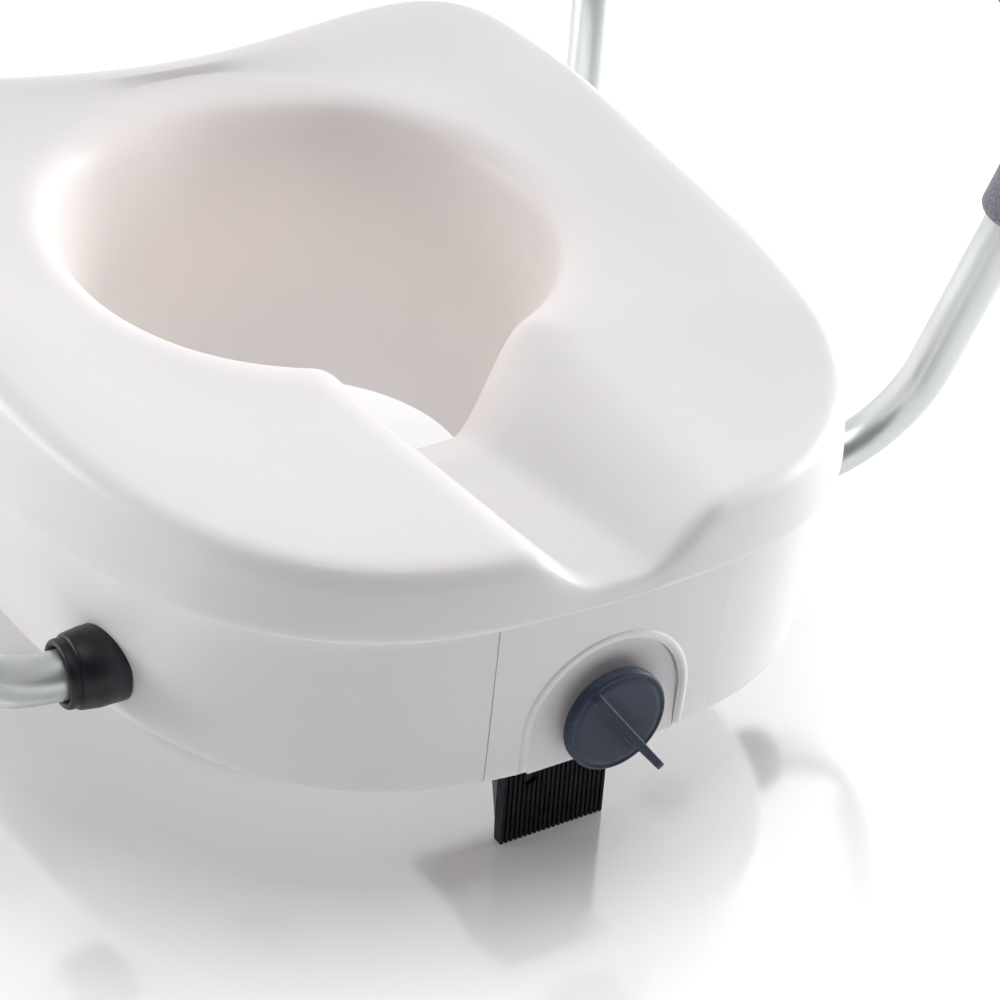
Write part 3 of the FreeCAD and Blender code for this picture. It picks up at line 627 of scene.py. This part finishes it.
def add_bead():
    """Bevelled curve laid on the front panel, whose surface is found by a ray at each point."""
    curve = bpy.data.curves.new("arch_bead", "CURVE")
    curve.dimensions = "3D"
    curve.bevel_depth = BEAD_RADIUS
    curve.bevel_resolution = 6
    curve.use_fill_caps = True
    outline = bead_outline()
    spline = curve.splines.new("POLY")
    spline.points.add(len(outline) - 1)
    bpy.context.view_layer.update()
    for point, (x, z) in zip(spline.points, outline):
        start = Vector((x, cad_low.y - 0.1, z))
        _, hit, _, _ = nodes["front_panel"].ray_cast(start, Vector((0, 1, 0)))
        point.co = (x, hit.y + BEAD_SUNK, z, 1)
    bead_line = bpy.data.objects.new("bead_line", curve)
    scene.collection.objects.link(bead_line)
    mesh = baked_mesh(bead_line)
    bpy.data.objects.remove(bead_line)
    new_piece("arch_bead", mesh, "white_shell", "seat")


add_bead()

# --- camera -----------------------------------------------------------------------------------
AZIMUTH = math.radians(-33.6)
ELEVATION = math.radians(31.6)
ROLL = math.radians(4.0)
CAMERA_PLACE = Vector((-562.7, -965.5, 763.7)) * MM
LENS_MM = 98.68
SENSOR_MM = 36.0


def camera_turn():
    """Rotation of a camera that looks along the azimuth and elevation, rolled about its view."""
    back = Vector((math.sin(AZIMUTH) * math.cos(ELEVATION),
                   -math.cos(AZIMUTH) * math.cos(ELEVATION), math.sin(ELEVATION)))
    level = Vector((math.cos(AZIMUTH), math.sin(AZIMUTH), 0))
    upward = back.cross(level)
    right = level * math.cos(ROLL) + upward * math.sin(ROLL)
    up = upward * math.cos(ROLL) - level * math.sin(ROLL)
    return Matrix((right, up, back)).transposed().to_4x4()


camera = bpy.data.objects.new("camera", bpy.data.cameras.new("camera"))
camera.data.lens = LENS_MM
camera.data.sensor_width = SENSOR_MM
camera.data.clip_start = 0.05
camera.data.clip_end = 50
camera.matrix_world = Matrix.Translation(CAMERA_PLACE) @ camera_turn()
scene.collection.objects.link(camera)
scene.camera = camera

# --- floor and light --------------------------------------------------------------------------
FLOOR_HALF = 12.0
FLOOR_WHITE = (0.90, 0.90, 0.90, 1)
FLOOR_GLOW = 0.28
# The mirror share, and the distances from the floor's middle, in metres, over which it fades out.
MIRROR_SHARE = 0.60
MIRROR_NEAR = 0.20
MIRROR_FAR = 0.36


def floor_material():
    """White, with a polish that mirrors the object near it and fades out further away."""
    g = Graph("floor")
    tree = g.tree
    share = g.fit(g.distance(g.place()), MIRROR_NEAR, MIRROR_FAR, MIRROR_SHARE, 0.0)
    matt = g.add("ShaderNodeBsdfDiffuse")
    matt.inputs["Color"].default_value = FLOOR_WHITE
    glow = g.add("ShaderNodeEmission")
    glow.inputs["Strength"].default_value = FLOOR_GLOW
    lit = g.add("ShaderNodeAddShader")
    tree.links.new(matt.outputs[0], lit.inputs[0])
    tree.links.new(glow.outputs[0], lit.inputs[1])
    mirror = g.add("ShaderNodeBsdfGlossy")
    mirror.inputs["Roughness"].default_value = 0.12
    blend = g.add("ShaderNodeMixShader")
    g.feed(blend, 0, share)
    tree.links.new(lit.outputs[0], blend.inputs[1])
    tree.links.new(mirror.outputs[0], blend.inputs[2])
    output = tree.nodes["Material Output"]
    tree.links.new(blend.outputs[0], output.inputs["Surface"])
    return g.material


floor_mesh = bpy.data.meshes.new("floor")
floor_corners = [(x * FLOOR_HALF, y * FLOOR_HALF, 0) for x, y in ((-1, -1), (1, -1), (1, 1), (-1, 1))]
floor_mesh.from_pydata(floor_corners, [], [(0, 1, 2, 3)])
floor = bpy.data.objects.new("floor", floor_mesh)
floor.location.z = cad_low.z
floor_mesh.materials.append(floor_material())
scene.collection.objects.link(floor)


LIGHT_AIM = Vector((0, 0, 0.12))


def area_light(name, place, size, watts, tint):
    """Softbox that faces the middle of the object."""
    light = bpy.data.lights.new(name, "AREA")
    light.shape = "RECTANGLE"
    light.size, light.size_y = size
    light.energy = watts
    light.color = tint
    holder = bpy.data.objects.new(name, light)
    holder.location = place
    holder.rotation_mode = "QUATERNION"
    holder.rotation_quaternion = (LIGHT_AIM - holder.location).to_track_quat("-Z", "Y")
    scene.collection.objects.link(holder)


area_light("top_box", (0.1, -0.25, 2.0), (1.3, 1.3), 19.5, (0.985, 0.975, 1.0))
area_light("right_box", (2.2, -0.1, 0.5), (1.4, 0.8), 46, (1.0, 0.985, 0.98))
area_light("left_box", (-1.9, 1.3, 0.5), (1.4, 0.8), 27, (1.0, 0.985, 0.97))


# Backdrop: the direction it is brightest in, and how facing that way sets its strength.
BACKDROP = (0.55, 0.83, 0.1)
BACKDROP_RANGE = {"From Min": -0.2, "From Max": 0.75, "To Min": 0.05, "To Max": 1.05}


def studio_world():
    """White backdrop behind the object, darker room on the camera's side."""
    world = bpy.data.worlds.new("studio")
    world.use_nodes = True
    tree = world.node_tree
    source = tree.nodes.new("ShaderNodeTexCoord")
    facing = tree.nodes.new("ShaderNodeVectorMath")
    facing.operation = "DOT_PRODUCT"
    facing.inputs[1].default_value = BACKDROP
    strength = tree.nodes.new("ShaderNodeMapRange")
    for socket, number in BACKDROP_RANGE.items():
        strength.inputs[socket].default_value = number
    tree.links.new(source.outputs["Generated"], facing.inputs[0])
    tree.links.new(facing.outputs["Value"], strength.inputs["Value"])
    background = tree.nodes["Background"]
    background.inputs["Color"].default_value = (0.99, 0.985, 1.0, 1)
    tree.links.new(strength.outputs["Result"], background.inputs["Strength"])
    return world


scene.world = studio_world()
scene.view_settings.view_transform = "Standard"
